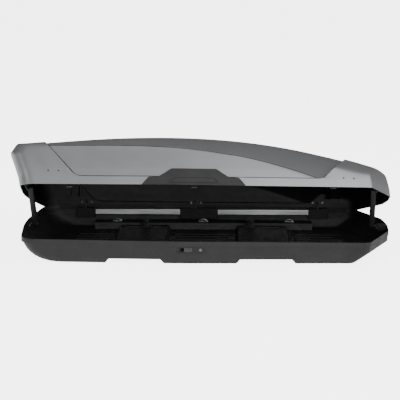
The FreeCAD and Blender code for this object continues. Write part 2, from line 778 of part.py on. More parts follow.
def track_band(arm, half, x0, x1):
    """Curved band of the given half width along the pin's path in the lid."""
    steps = 8
    path = [arm_end(arm, step / steps) for step in range(steps + 1)]
    upper, lower = [], []
    for index, (y, z) in enumerate(path):
        before = path[max(index - 1, 0)]
        after = path[min(index + 1, steps)]
        length = math.hypot(after[0] - before[0], after[1] - before[1])
        dy = -(after[1] - before[1]) / length
        dz = (after[0] - before[0]) / length
        upper.append(Vector(x0, y + dy * half, z + dz * half))
        lower.append(Vector(x0, y - dy * half, z - dz * half))
    sides = []
    for points in (upper, lower[::-1]):
        curve = Part.BSplineCurve()
        curve.interpolate(points)
        sides.append(curve.toShape())
    ends = [Part.LineSegment(upper[-1], lower[-1]).toShape(),
            Part.LineSegment(lower[0], upper[0]).toShape()]
    wire = Part.Wire([sides[0], ends[0], sides[1], ends[1]])
    band = Part.Face(wire).extrude(Vector(x1 - x0, 0, 0))
    for y, z in (path[0], path[-1]):
        band = band.fuse(rod(half, Vector(min(x0, x1), y, z), Vector(max(x0, x1), y, z)))
    return band.removeSplitter()


def end_wall_x(y, z, out):
    """Length of the lid's inner end wall beside a post, less a small gap."""
    walls = lid_walls(LID_WALL)
    best = 0.0
    for low, high in zip(walls, walls[1:]):
        for index, point in enumerate(low):
            rise = high[index].z - point.z
            share = (z - point.z) / rise
            spot = point + (high[index] - point) * share
            if 0 <= share <= 1 and spot.x * out > 0 and abs(spot.y - y) < 60:
                if best == 0.0 or abs(spot.x) < abs(best):
                    best = spot.x
    return best - out * 2.0


def lifter(arm):
    """Arm, pins, base bracket, spring and lid track at one end of the box."""
    name = arm["name"]
    out = arm["out"]
    x = arm["x"]
    z = arm["z"]
    tip_x = x + arm["lean_x"]
    outline = rounded_loop([
        (-ARM_WIDTH / 2, -14, 12),
        (ARM_WIDTH / 2, -14, 12),
        (12.5, ARM_LENGTH + 10, 9),
        (-12.5, ARM_LENGTH + 10, 9),
    ], "YZ", -ARM_THICK / 2)
    plate = Part.Face(outline).extrude(Vector(ARM_THICK, 0, 0))
    window = slab([
        (-9, 24, 6), (9, 24, 6), (6, ARM_LENGTH - 24, 4), (-6, ARM_LENGTH - 24, 4),
    ], "YZ", ARM_WEB - ARM_THICK / 2, ARM_THICK)
    plate = plate.cut(window)
    shear = FreeCAD.Matrix()
    shear.A13 = arm["lean_x"] / ARM_LENGTH
    plate = plate.transformGeometry(shear)
    for height in (0.0, ARM_LENGTH):
        eye = Vector(-40, 0, height)
        plate = plate.cut(rod(ARM_PIN_R, eye, eye + Vector(80, 0, 0)))
    pivot = Vector(0, 0, 0)
    side = out * ARM_THICK / 2
    foot_x = x + side + out * BRACKET_GAP
    base_pin = rod(ARM_PIN_R, Vector(-side, 0, 0), Vector(side + out * (BRACKET_GAP + 12), 0, 0))
    base_pin = base_pin.fuse(rod(8, Vector(-side - out * 5.2, 0, 0), Vector(-side - out * 1.2, 0, 0)))
    tip = Vector(arm["lean_x"], 0, ARM_LENGTH)
    tip_pin = rod(ARM_PIN_R, tip - Vector(side, 0, 0), tip + Vector(side + out * 5.5, 0, 0))
    tip_pin = tip_pin.fuse(rod(7.5, tip - Vector(side + out * 4.5, 0, 0), tip - Vector(side + out, 0, 0)))
    parts = {"_lifter_arm": plate, "_lifter_pins": Part.makeCompound([base_pin, tip_pin])}
    for suffix, shape in parts.items():
        shape.rotate(pivot, Vector(1, 0, 0), ARM_LEAN)
        shape.translate(Vector(x, 0, z))
        keep(name + suffix, shape)
    foot = block(foot_x, foot_x + out * 90, -34, 34, z - 18, z + 8)
    foot = foot.common(base_inside(BASE_WALL + SEAT_GAP))
    bore = rod(ARM_PIN_R + RUNNING_GAP, Vector(x - 70, 0, z), Vector(x + 70, 0, z))
    keep(name + "_lifter_base_bracket", foot.cut(bore))
    heads = []
    for y in (-24, 24):
        face = Vector(foot_x, y, z - 5)
        heads.append(rod(5, face - Vector(out * 3, 0, 0), face))
    keep(name + "_lifter_base_screws", Part.makeCompound(heads))
    track_x = sorted((tip_x + side + out * 1.5, tip_x + side + out * 4.5))
    track = track_band(arm, 14.0, track_x[0], track_x[1])
    posts = []
    for fraction in (0.1, 0.9):
        y, height = arm_end(arm, fraction)
        start = Vector(track_x[0], y, height + 16)
        if out < 0:
            start.x = track_x[1]
        reach = min(abs(end_wall_x(y, start.z + lift, out)) for lift in (-7, 0, 7))
        if reach > max(abs(track_x[0]), abs(track_x[1])):
            posts.append(rod(7, start, Vector(out * reach, start.y, start.z)))
    if posts:
        track = track.multiFuse(posts)
    slot = track_band(arm, ARM_PIN_R + 0.4, track_x[0] - 1, track_x[1] + 1)
    keep(name + "_lifter_track", opened(track.cut(slot).removeSplitter()))


def lifter_spring(arm):
    """Torsion spring round the base pin, between the bracket and the arm."""
    wire_r = 1.2
    coil_r = 8.0
    helix = Part.makeHelix(2.8, 9.0, coil_r)
    profile = Part.Wire(Part.makeCircle(wire_r, Vector(coil_r, 0, 0), Vector(0, 1, 0)))
    coil = Part.Wire(helix.Edges).makePipeShell([profile], True, True)
    coil.rotate(Vector(0, 0, 0), Vector(0, 1, 0), 90)
    first = ARM_THICK / 2 + 2.6
    start = arm["x"] + (first if arm["out"] > 0 else -first - 9.0)
    coil.translate(Vector(start, 0, arm["z"]))
    return coil


# --- Roof-bar clamps --------------------------------------------------------------------
def clamp_parts(row, side_name):
    """Carriage, knob and the two jaws of one clamp, jaws folded flat."""
    x = CLAMP_RESTS[row]
    y = SIDES[side_name] * CLAMP_Y
    roof = CHANNEL_HEIGHT + BASE_WALL
    top_plate = soft_block(x - 34, x + 34, y - 27, y + 27, roof + 0.2, roof + 9, 8)
    tower = soft_block(x - 20, x + 20, y - 18, y + 18, roof + 8, roof + 30, 8)
    neck = block(x - 18, x + 18, y - 6.5, y + 6.5, 22.9, roof + 1)
    yoke = block(x - 14, x + 14, y - JAW_WIDTH / 2, y + JAW_WIDTH / 2, 9, CHANNEL_HEIGHT - 0.2)
    arms = []
    pins = []
    for cheek in (-1, 1):
        inner = y + cheek * (JAW_WIDTH / 2 - 8)
        outer = y + cheek * JAW_WIDTH / 2
        arms.append(block(x - JAW_PIVOT - 5, x + JAW_PIVOT + 5, inner, outer, 11.5, 21.5))
    for end in (-1, 1):
        pivot_x = x + end * JAW_PIVOT
        pins.append(rod(3.0, Vector(pivot_x, y - JAW_WIDTH / 2, JAW_Z),
                        Vector(pivot_x, y + JAW_WIDTH / 2, JAW_Z)))
    bore = rod(6.0 + RUNNING_GAP, Vector(x, y, 8), Vector(x, y, roof + 40))
    carriage = join([top_plate, tower, neck, yoke] + arms + pins).cut(bore)
    spindle = rod(6.0, Vector(x, y, 14), Vector(x, y, roof + 34))
    wheel = rod(24, Vector(x, y, roof + 31), Vector(x, y, roof + 49))
    for lobe in range(6):
        angle = math.radians(60 * lobe)
        bite = Vector(x + 29 * math.cos(angle), y + 29 * math.sin(angle), roof + 30)
        wheel = wheel.cut(rod(8, bite, bite + Vector(0, 0, 22)))
    grip = block(x - 20, x + 20, y - 4, y + 4, roof + 48, roof + 58)
    knob = join([spindle, wheel, grip])
    prefix = row + "_" + side_name + "_clamp_"
    keep(prefix + "carriage", carriage)
    keep(prefix + "knob", knob)
    width = JAW_WIDTH / 2 - 8.4
    for end, label in ((-1, "jaw_back"), (1, "jaw_front")):
        pivot_x = x + end * JAW_PIVOT
        reach = pivot_x + end * JAW_REACH
        plate = slab([
            (pivot_x, JAW_Z - 3, 0),
            (reach - end * 5, JAW_Z - 3, 0),
            (reach - end * 5, JAW_Z - 11, 0),
            (reach, JAW_Z - 11, 0),
            (reach, JAW_Z + 3, 2),
            (pivot_x, JAW_Z + 3, 0),
        ], "XZ", y - width, y + width)
        eye = rod(6.0, Vector(pivot_x, y - width, JAW_Z), Vector(pivot_x, y + width, JAW_Z))
        hole = rod(3.0 + RUNNING_GAP, Vector(pivot_x, y - 20, JAW_Z),
                   Vector(pivot_x, y + 20, JAW_Z))
        keep(prefix + label, join([plate, eye]).cut(hole))


def lashing_loops():
    """Wire loops on the side ledges for the load straps."""
    loops = []
    wire_r = 2.0
    for side in SIDES.values():
        for x in LOOP_XS:
            y = side * 372.0
            z = LEDGE_Z + wire_r + 0.2
            base = rod(wire_r, Vector(x - 26, y, z), Vector(x + 26, y, z))
            bow_points = [Vector(x - 26, y, z), Vector(x, y, z + 14), Vector(x + 26, y, z)]
            bow = Part.Wire(Part.Arc(*bow_points).toShape())
            tangent = bow.Edges[0].tangentAt(bow.Edges[0].FirstParameter)
            ring = Part.Wire(Part.makeCircle(wire_r, bow_points[0], tangent))
            pipe = bow.makePipeShell([ring], True, True)
            ends = [Part.makeSphere(wire_r, bow_points[0]), Part.makeSphere(wire_r, bow_points[2])]
            loops.append(join([base, pipe] + ends))
    return Part.makeCompound(loops)


def main():
    """Build every node and write its STEP file."""
    keep("base_shell", base_shell(lock_openings()))
    keep("lid_shell", opened(lid_shell()))
    for side_name, side in SIDES.items():
        keep(side_name + "_handle_trim", opened(handle_trim(side)))
        side_mechanism(side_name)
    keep("rear_cross_member", opened(cross_member(-MEMBER_X)))
    keep("front_cross_member", opened(cross_member(MEMBER_X)))
    keep("cross_member_rivets", opened(member_rivets()))
    for arm in (REAR_ARM, FRONT_ARM):
        lifter(arm)
    keep("lifter_springs", Part.makeCompound([lifter_spring(a) for a in (REAR_ARM, FRONT_ARM)]))
    for row in CLAMP_RESTS:
        for side_name in SIDES:
            clamp_parts(row, side_name)
    keep("lashing_loops", lashing_loops())
    os.makedirs("parts", exist_ok=True)
    for name, shape in NODES.items():
        shape.exportStep("parts/" + name + ".step")


main()
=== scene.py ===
import json
import math

import bmesh
import bpy
import numpy as np
from mathutils import Matrix, Vector


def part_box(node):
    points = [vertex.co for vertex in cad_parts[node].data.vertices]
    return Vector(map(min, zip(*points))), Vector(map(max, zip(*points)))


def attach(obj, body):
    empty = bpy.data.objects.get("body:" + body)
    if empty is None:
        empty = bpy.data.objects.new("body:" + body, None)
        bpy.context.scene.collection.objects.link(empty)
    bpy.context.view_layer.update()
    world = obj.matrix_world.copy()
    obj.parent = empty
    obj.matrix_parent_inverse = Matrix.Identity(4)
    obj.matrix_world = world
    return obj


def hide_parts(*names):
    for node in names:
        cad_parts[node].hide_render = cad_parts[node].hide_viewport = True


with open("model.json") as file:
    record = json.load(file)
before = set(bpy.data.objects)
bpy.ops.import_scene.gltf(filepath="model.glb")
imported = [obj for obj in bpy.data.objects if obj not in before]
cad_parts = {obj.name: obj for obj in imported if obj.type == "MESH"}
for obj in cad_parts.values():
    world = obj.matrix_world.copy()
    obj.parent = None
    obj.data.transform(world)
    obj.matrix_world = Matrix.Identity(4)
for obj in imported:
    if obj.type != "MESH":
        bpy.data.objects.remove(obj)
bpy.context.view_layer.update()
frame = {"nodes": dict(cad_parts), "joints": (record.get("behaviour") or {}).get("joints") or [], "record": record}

MM = 0.001

# --- Lid form -------------------------------------------------------------------------
# Lengths are in millimetres, in the frame of the CAD part with the lid closed.
# Corners of the plan outline are x, y and the radius of their fillet.
REAR_X = -1030.0
REAR_CORNER = (-975.0, 438.0, 95.0)
WIDEST = (-140.0, 460.0, 6000.0)
FRONT_CORNER = (915.0, 436.0, 40.0)
NOSE_CORNER = (1056.0, 150.0, 90.0)
NOSE_X = 1068.0
BOW_REACH = 147.0           # tangent length of the fillet at the widest point
REAR_BOW = 1400.0
NOSE_BOW = 400.0
FILLET_STEPS = 48
RIM_Z = 127.0
RIM_SLOPE = math.tan(math.radians(0.35))
LID_OVERLAP = 8.0
LID_WALL = 3.5
LID_LEAN = 0.13
LID_LEVELS = np.array([     # height over the rim, then inset of the side, rear and nose
    (-LID_OVERLAP, 0.0, 0.0, 0.0),
    (36.0, 3.4, -9.0, 5.0),
    (84.0, 9.0, -26.0, 15.0),
    (130.0, 16.5, -44.0, 26.0),
    (176.0, 24.5, -60.0, 38.0),
    (234.0, 34.0, -26.0, 54.0),
    (340.0, 56.0, 34.0, 92.0),
])
LEVEL_ROUNDING = 0.30       # 0 keeps the levels' creases, 1 rounds them fully

# The crown line drops by a given amount over a given length, to both ends.
CROWN_X = -210.0
CROWN_Z = 449.0
REAR_DROP = 74.0
REAR_REACH = 860.0
NOSE_DROP = 171.0
NOSE_REACH = 1150.0
NOSE_POWER = 2.26
ARCH_POWER = 3.0

# The shoulder, where the side wall turns into the top, drops towards the nose.
SHOULDER_TOP = 348.0
SHOULDER_FROM = -620.0
SHOULDER_DROP = 186.0
SHOULDER_REACH = 1266.0
SHOULDER_POWER = 2.7
CAP_SHOULDER = 192.0        # lowest shoulder of the end caps
CAP_FULLNESS = 42.0         # raises it, up to where the fade ends
FULLNESS_END = 920.0
FULLNESS_FADE = 220.0
PANEL_SHOULDER = 157.0      # lowest shoulder of the middle panel

# Middle panel: its slanted ends are a point (x, z) and the direction inwards.
PANEL_STEP = 7.0
PANEL_FOOT = 36.0
PANEL_REAR = (-668.0, 166.0, 0.743, 0.670)
PANEL_FRONT = (655.0, 158.0, -0.719, 0.695)
PANEL_REAR_ROUND = 24.0
PANEL_FRONT_ROUND = 14.0
PANEL_DEEPEST = 70.0
STEP_WIDTH = 3.0
GROOVE_DEPTH = 1.5
GROOVE_WIDTH = 5.5
# Width of the painted groove shade along the panel's front end, and where that wider strip starts.
FRONT_SHADE_WIDTH = 8.0
FRONT_SHADE_FROM = 640.0
CREASE_HALF = 1.6
CREASE_FROM = 150.0         # the crease's painted shade line is drawn beyond this half width
CREASE_SHORT = 6.0          # and stops this far below the panel's slanted ends
AIM_WIDTH = 0.55
AIM_HEIGHT = 0.35
LID_MIDDLE = (0.0, 0.0, 150.0)

# Lid mesh: rings up the wall and over the top, with the shoulder softened.
AROUND = 320
WALL_RINGS = 26
TOP_RINGS = 30
TOP_SPREAD = 1.5
SPINE = (-800.0, 760.0)
TURN_WEIGHT = 260.0         # outline length that one radian of bend counts for
ROUND_BELOW = 4
ROUND_ABOVE = 6
ROUND_PASSES = 5
EASE_FROM = 700.0           # the front end's shoulder is softened further, from here on
EASE_LENGTH = 110.0
EASE_RINGS = 11
EASE_PASSES = 34
SHOULDER_HALVINGS = 34
PANEL_HALVINGS = 22
MERGE_GAP = 0.02
SNAP_SHARE = 0.03           # a cut this near the end of an edge uses the end itself
EDGE_GAP = 0.01
# Material slots of the lid: paint, bare plastic inside, and a dark copy of the paint as painted shade in the
# grooves.
PAINT, INSIDE, GROOVE_SHADE = range(3)

# --- Handle trim, braces and lifter arms, in millimetres -------------------------------
TRIM_X = -35.0
TRIM_PROUD = 5.2
TRIM_SUNK = 0.5
TRIM_GRAIN = 3.0
TRIM_ROWS = 46
TRIM_PROFILE = [            # distance from the middle and height over the rim
    (0.0, 81.0), (60.0, 81.0), (114.0, 81.0), (120.0, 80.0), (126.0, 77.0),
    (155.0, 57.0), (184.0, 38.5), (189.0, 36.5), (196.0, 36.0), (238.0, 34.0),
    (244.0, 31.0), (248.0, 26.0), (262.0, 10.0), (276.0, -6.0),
]
GRIP_HALF = 134.0
GRIP_LOW = 3.0
GRIP_TOP = 33.0
GRIP_DEPTH = 4.2
GRIP_SLOPE = 2.2
GRIP_SLANT = 0.9            # lean of the recess's ends, and the cosine of that lean
GRIP_COSINE = 0.74
MEMBER_PROFILE = ((-45, 0), (-26, 0), (-20, 17), (20, 17), (26, 0), (45, 0))
MEMBER_THICK = 2.5
MEMBER_GAP = 2.0
MEMBER_FOOT = 60.0
MEMBER_LEAST = 4.0          # least height of a leg
MEMBER_STEPS = 24
LEG_STEPS = 4
ARM_LENGTH = 215.0
ARM_LEAN = 9.0
ARM_LEAN_X = {"rear": -15.0, "front": 0.0}
ARM_RADII = (17.0, 12.0)
ARM_WALL = 3.5
ARM_WEB = 3.0
ARM_OUTER = 8.0
ARM_INNER = 20.0
ARM_STEPS = 20

# --- Softened edges, in metres ---------------------------------------------------------
SHELL_EDGE = 0.0016
NODE_EDGE = 0.0005
TRIM_EDGE = 0.0012
ARM_EDGE = 0.001
WELD_GAP = 0.00001


def joint(name):
    """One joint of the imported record."""
    return next(j for j in frame["joints"] if j["name"] == name)


HINGE = joint("lid_hinge")
HINGE_AT = Vector(HINGE["pos_m"])
LID_OPEN = math.radians(max(HINGE["range_deg"]))
TO_OPEN = (Matrix.Translation(HINGE_AT) @ Matrix.Rotation(-LID_OPEN, 4, "X")
           @ Matrix.Translation(-HINGE_AT))


# --- Lid formulas ---------------------------------------------------------------------
def rim_height(x):
    """Height of the sloping rim plane."""
    return RIM_Z - RIM_SLOPE * x


def crown_height(x):
    """Height of the closed lid along its centre line."""
    behind = np.maximum(CROWN_X - x, 0.0)
    ahead = np.maximum(x - CROWN_X, 0.0)
    rear = REAR_DROP * (behind / REAR_REACH) ** 2
    nose = NOSE_DROP * (ahead / NOSE_REACH) ** NOSE_POWER
    return CROWN_Z - rear - nose


def shoulder_height(x, lowest):
    """Height where the side wall turns into the top."""
    along = np.maximum(0.0, x - SHOULDER_FROM) / SHOULDER_REACH
    drop = SHOULDER_DROP * along ** SHOULDER_POWER
    if lowest == CAP_SHOULDER:
        fullness = np.clip((FULLNESS_END - x) / FULLNESS_FADE, 0.0, 1.0)
        lowest = CAP_SHOULDER + CAP_FULLNESS * fullness
    return np.maximum(lowest, SHOULDER_TOP - drop)


def side_half_width(x):
    """Half width of the lid's lower edge, with the side line carried past the ends."""
    rear = (WIDEST[1] - REAR_CORNER[1]) / (WIDEST[0] - REAR_CORNER[0])
    front = (FRONT_CORNER[1] - WIDEST[1]) / (FRONT_CORNER[0] - WIDEST[0])
    return WIDEST[1] + np.where(x < WIDEST[0], rear, front) * (x - WIDEST[0])


def top_height(x, y, depth, lowest=CAP_SHOULDER):
    """Height of the top surface over a plan point, a given depth below the skin."""
    shoulder = shoulder_height(x, lowest)
    width = side_half_width(x) - LID_LEAN * (shoulder - rim_height(x)) - depth
    rise = crown_height(x) - shoulder
    return shoulder + rise * (1 - (np.abs(y) / width) ** ARCH_POWER) - depth


def wall_inset(height):
    """Inset of the side wall at a height above the rim."""
    return np.interp(height, LID_LEVELS[:, 0], LID_LEVELS[:, 1])


def wall_y(x, z, depth):
    """Half width of the lid's side wall at a height, a given depth below the skin."""
    bow = np.maximum(0.0, BOW_REACH - np.abs(x - WIDEST[0])) ** 2 / (2 * WIDEST[2])
    return side_half_width(x) - wall_inset(z - rim_height(x)) - depth - bow


def arc_points(corner, back, ahead, radius, steps):
    """Points of the fillet at a corner between two directions."""
    half = math.acos(max(-1.0, min(1.0, back.dot(ahead)))) / 2
    centre = corner + (back + ahead).normalized() * (radius / math.sin(half))
    start = corner + back * (radius / math.tan(half)) - centre
    end = corner + ahead * (radius / math.tan(half)) - centre
    first = math.atan2(start.y, start.x)
    sweep = (math.atan2(end.y, end.x) - first + math.pi) % (2 * math.pi) - math.pi
    turns = [first + sweep * step / steps for step in range(steps + 1)]
    return [centre + radius * Vector((math.cos(turn), math.sin(turn))) for turn in turns]


def half_outline(inset, rear_in, nose_in, count):
    """Evenly shared points along the left half of the plan outline, rear to nose."""
    corners = [
        (Vector((REAR_X + rear_in, 0)), REAR_BOW),
        (Vector((REAR_CORNER[0] + rear_in, REAR_CORNER[1] - inset)), REAR_CORNER[2]),
        (Vector((WIDEST[0], WIDEST[1] - inset)), WIDEST[2]),
        (Vector((FRONT_CORNER[0] - nose_in, FRONT_CORNER[1] - inset)), FRONT_CORNER[2]),
        (Vector((NOSE_CORNER[0] - nose_in, NOSE_CORNER[1] - inset / 2)), NOSE_CORNER[2]),
        (Vector((NOSE_X - nose_in, 0)), NOSE_BOW),
    ]
    mirror = Vector((1, -1))
    places = [corners[1][0] * mirror] + [c[0] for c in corners] + [corners[-2][0] * mirror]
    path = []
    for index, (place, radius) in enumerate(corners):
        back = (places[index] - place).normalized()
        ahead = (places[index + 2] - place).normalized()
        path += arc_points(place, back, ahead, radius, FILLET_STEPS)
    path = [p for p in path if p.y > 1e-3]
    path = [Vector((path[0].x, 0))] + path + [Vector((path[-1].x, 0))]
    steps = [b - a for a, b in zip(path, path[1:])]
    headings = [math.pi / 2] + [math.atan2(s.y, s.x) for s in steps]
    weights = [s.length + TURN_WEIGHT * abs(headings[i + 1] - headings[i])
               for i, s in enumerate(steps)]
    marks = np.concatenate([[0.0], np.cumsum(weights)])
    goals = np.linspace(0.0, marks[-1], count)
    xs = np.interp(goals, marks, [p.x for p in path])
    ys = np.interp(goals, marks, [p.y for p in path])
    return xs, ys


def full_outline(inset, rear_in, nose_in):
    """Matching points all round the outline, mirrored about the centre line."""
    xs, ys = half_outline(inset, rear_in, nose_in, AROUND // 2 + 1)
    x = np.concatenate([xs[1:-1][::-1], xs])
    y = np.concatenate([-ys[1:-1][::-1], ys])
    return x, y


def smooth_levels(values, place):
    """Partly rounded value between the wall levels, for every outline point."""
    count = len(values)
    low = np.clip(place.astype(int), 0, count - 2)
    share = place - low
    before = values[np.maximum(low - 1, 0), np.arange(values.shape[1])]
    here = values[low, np.arange(values.shape[1])]
    after = values[low + 1, np.arange(values.shape[1])]
    beyond = values[np.minimum(low + 2, count - 1), np.arange(values.shape[1])]
    curve = 2 * here + (after - before) * share
    curve += (2 * before - 5 * here + 4 * after - beyond) * share ** 2
    curve += (3 * here - before - 3 * after + beyond) * share ** 3
    straight = here + (after - here) * share
    return straight + LEVEL_ROUNDING * (curve / 2 - straight)


def run_of_rings(first, last):
    """Slices for a run of rings, the run one ring lower and the run one ring higher."""
    return slice(first, last), slice(first - 1, last - 1), slice(first + 1, last + 1)


def lid_rings(depth):
    """Rings of points from the lid's lower edge, up the wall and over the crown."""
    xs, ys, zs = [], [], []
    for height, inset, rear_in, nose_in in LID_LEVELS:
        x, y = full_outline(inset + depth, rear_in + depth, nose_in + depth)
        xs.append(x)
        ys.append(y)
        zs.append(height + rim_height(x))
    levels = [np.array(v) for v in (xs, ys, zs)]
    low = np.full(AROUND, 1.0)
    high = np.full(AROUND, len(LID_LEVELS) - 1.0)
    for _ in range(SHOULDER_HALVINGS):
        middle = (low + high) / 2
        x, y, z = [smooth_levels(v, middle) for v in levels]
        under = z < top_height(x, y, depth)
        low = np.where(under, middle, low)
        high = np.where(under, high, middle)
    rings = []
    for step in range(WALL_RINGS + 1):
        rings.append(np.stack([smooth_levels(v, low * step / WALL_RINGS) for v in levels], 1))
    edge = rings[-1]
    spine_x = np.clip(edge[:, 0], *SPINE)
    for step in range(1, TOP_RINGS + 1):
        share = (step / TOP_RINGS) ** TOP_SPREAD
        x = edge[:, 0] + (spine_x - edge[:, 0]) * share
        y = edge[:, 1] * (1 - share)
        rings.append(np.stack([x, y, top_height(x, y, depth)], 1))
    rings = np.array(rings)
    here, lower, upper = run_of_rings(WALL_RINGS - ROUND_BELOW, WALL_RINGS + ROUND_ABOVE)
    for _ in range(ROUND_PASSES):
        rings[here] = (rings[lower] + rings[upper] + 2 * rings[here]) / 4
    ease = np.clip((edge[:, 0] - EASE_FROM) / EASE_LENGTH, 0.0, 1.0)[None, :, None]
    here, lower, upper = run_of_rings(WALL_RINGS - EASE_RINGS, WALL_RINGS + EASE_RINGS)
    for _ in range(EASE_PASSES):
        rings[here] += ease * ((rings[lower] + rings[upper]) / 2 - rings[here]) / 2
    return rings


def edge_depth(edge, x, z):
    """Distance inside one slanted end of the middle panel."""
    at_x, at_z, inward_x, inward_z = edge
    return (x - at_x) * inward_x + (z - at_z) * inward_z


def corner_depth(radius, first, second):
    """Distance inside a rounded corner, from the distances inside its two edges."""
    return radius - math.hypot(max(radius - first, 0.0), max(radius - second, 0.0))


def zone_depth(x, z):
    """Distance inside the middle panel's outline, seen from the side."""
    foot = z - rim_height(x) - PANEL_FOOT
    rear = edge_depth(PANEL_REAR, x, z)
    front = edge_depth(PANEL_FRONT, x, z)
    back = corner_depth(PANEL_REAR_ROUND, foot, rear)
    nose = corner_depth(PANEL_FRONT_ROUND, foot, front)
    return min(foot, rear, front, back, nose)


def inward_at(p):
    """Smoothly varying direction from a point of the lid towards its inside."""
    aim_z = rim_height(p.x) + AIM_HEIGHT * (p.z - rim_height(p.x))
    return (Vector((p.x, AIM_WIDTH * p.y, aim_z)) - p).normalized()


def groove_shade_width(p):
    """Width of the painted groove shade, larger along the front end of the panel."""
    return FRONT_SHADE_WIDTH if p.x > FRONT_SHADE_FROM else GROOVE_WIDTH


def paint_faces(bm):
    """Paint on the faces that look outwards, bare plastic on the others."""
    bm.normal_update()
    centre = Vector(LID_MIDDLE)
    for face in bm.faces:
        outside = (face.calc_center_median() - centre).dot(face.normal) > 0
        face.material_index = PAINT if outside else INSIDE


def inside_panel(p):
    """True where a point lies below the middle panel's surface."""
    x, y, z = p
    if z > top_height(x, y, PANEL_STEP, PANEL_SHOULDER):
        return False
    return abs(y) < wall_y(x, z, PANEL_STEP)


def panel_drop(place, inward):
    """How far a point of the cap surface moves inward to reach the panel."""
    low, high = 0.0, PANEL_DEEPEST
    if inside_panel(place):
        return 0.0
    for _ in range(PANEL_HALVINGS):
        middle = (low + high) / 2
        if inside_panel(place + inward * middle):
            high = middle
        else:
            low = middle
    return high


def cut_where(bm, field, allowed):
    """Split the mesh where a field of its vertices changes sign, on the allowed vertices."""
    values = {}
    for v in bm.verts:
        values[v] = field(v)
    made = []
    for edge in list(bm.edges):
        a, b = edge.verts
        if values[a] * values[b] < 0 and allowed(a) and allowed(b):
            share = values[a] / (values[a] - values[b])
            if share < SNAP_SHARE:
                made.append(a)
            elif share > 1 - SNAP_SHARE:
                made.append(b)
            else:
                _, new = bmesh.utils.edge_split(edge, a, share)
                values[new] = 0.0
                made.append(new)
    bmesh.ops.connect_verts(bm, verts=list(dict.fromkeys(made)), check_degenerate=False)


def new_object(name, bm):
    """Linked object made from a bmesh, which is freed."""
    mesh = bpy.data.meshes.new(name)
    bm.to_mesh(mesh)
    bm.free()
    obj = bpy.data.objects.new(name, mesh)
    bpy.context.scene.collection.objects.link(obj)
    return obj


def shade(obj, degrees):
    """Smooth shading that keeps edges sharper than an angle."""
    mesh = obj.data
    mesh.polygons.foreach_set("use_smooth", [True] * len(mesh.polygons))
    mesh.set_sharp_from_angle(angle=math.radians(degrees))


def soften(obj, width, segments, degrees):
    """Bevel the edges that are sharper than an angle."""
    bevel = obj.modifiers.new("edge", "BEVEL")
    bevel.width = width
    bevel.segments = segments
    bevel.limit_method = "ANGLE"
    bevel.angle_limit = math.radians(degrees)
    return bevel


def add_skins(bm, depths):
    """Outer and inner skin of the lid, joined along its lower edge."""
    skins = []
    for depth in (0.0, LID_WALL):
        rings = lid_rings(depth)
        skins.append([[bm.verts.new(Vector(p)) for p in ring] for ring in rings])
        for vert in (v for ring in skins[-1] for v in ring):
            vert[depths] = depth
    for skin, flip in zip(skins, (False, True)):
        for lower, upper in zip(skin, skin[1:]):
            for i in range(AROUND):
                j = (i + 1) % AROUND
                corners = [lower[i], lower[j], upper[j], upper[i]]
                bm.faces.new(corners if flip else corners[::-1])
    outer_edge, inner_edge = skins[0][0], skins[1][0]
    for i in range(AROUND):
        j = (i + 1) % AROUND
        bm.faces.new([outer_edge[i], outer_edge[j], inner_edge[j], inner_edge[i]])
    bmesh.ops.remove_doubles(bm, verts=bm.verts, dist=MERGE_GAP)
    bmesh.ops.recalc_face_normals(bm, faces=bm.faces)


def paint_groove_shade(bm, in_seam):
    """Painted shade colour on the painted faces whose middle lies in the shaded groove strip."""
    for face in bm.faces:
        if face.material_index == PAINT and in_seam(face.calc_center_median()):
            face.material_index = GROOVE_SHADE


def in_panel_groove_shade(p):
    """True in the strip of painted groove shade just inside the middle panel's outline."""
    return 0.0 < zone_depth(p.x, p.z) < groove_shade_width(p)


def sink_panel(bm, depths):
    """Cut the middle panel's outline, paint shade into its groove and move the panel inwards."""
    def over(v):
        """Point of the outer skin over a vertex of either skin."""
        return v.co - inward_at(v.co) * v[depths]

    def zone(v):
        """Distance inside the panel outline of a vertex of either skin."""
        return zone_depth(over(v).x, over(v).z)

    for inside in (0.0, STEP_WIDTH, GROOVE_WIDTH, FRONT_SHADE_WIDTH):
        cut_where(bm, lambda v: zone(v) - inside, lambda v: True)
    paint_groove_shade(bm, in_panel_groove_shade)
    moves = []
    for v in bm.verts:
        inside = zone(v)
        if inside <= EDGE_GAP:
            continue
        inward = inward_at(v.co)
        groove = max(0.0, 1.0 - abs(inside - STEP_WIDTH) / (GROOVE_WIDTH - STEP_WIDTH))
        drop = panel_drop(over(v), inward) + GROOVE_DEPTH * groove
        moves.append((v, inward * drop * min(1.0, inside / STEP_WIDTH)))
    for v, move in moves:
        v.co += move


def on_panel_side(p):
    """True on the sides of the middle panel, inside its seam."""
    return abs(p.y) > CREASE_FROM and zone_depth(p.x, p.z + CREASE_SHORT) > GROOVE_WIDTH


def crease_gap(p):
    """Height above the crease between the middle panel's side and its top."""
    return p.z - float(shoulder_height(p.x, PANEL_SHOULDER)) + PANEL_STEP


def paint_crease_shade(bm):
    """Painted shade: a dark line along the crease of the middle panel, in colour only."""
    for shift in (-CREASE_HALF, CREASE_HALF):
        cut_where(bm, lambda v: crease_gap(v.co) - shift, lambda v: on_panel_side(v.co))
    paint_groove_shade(bm, lambda p: on_panel_side(p) and abs(crease_gap(p)) < CREASE_HALF)


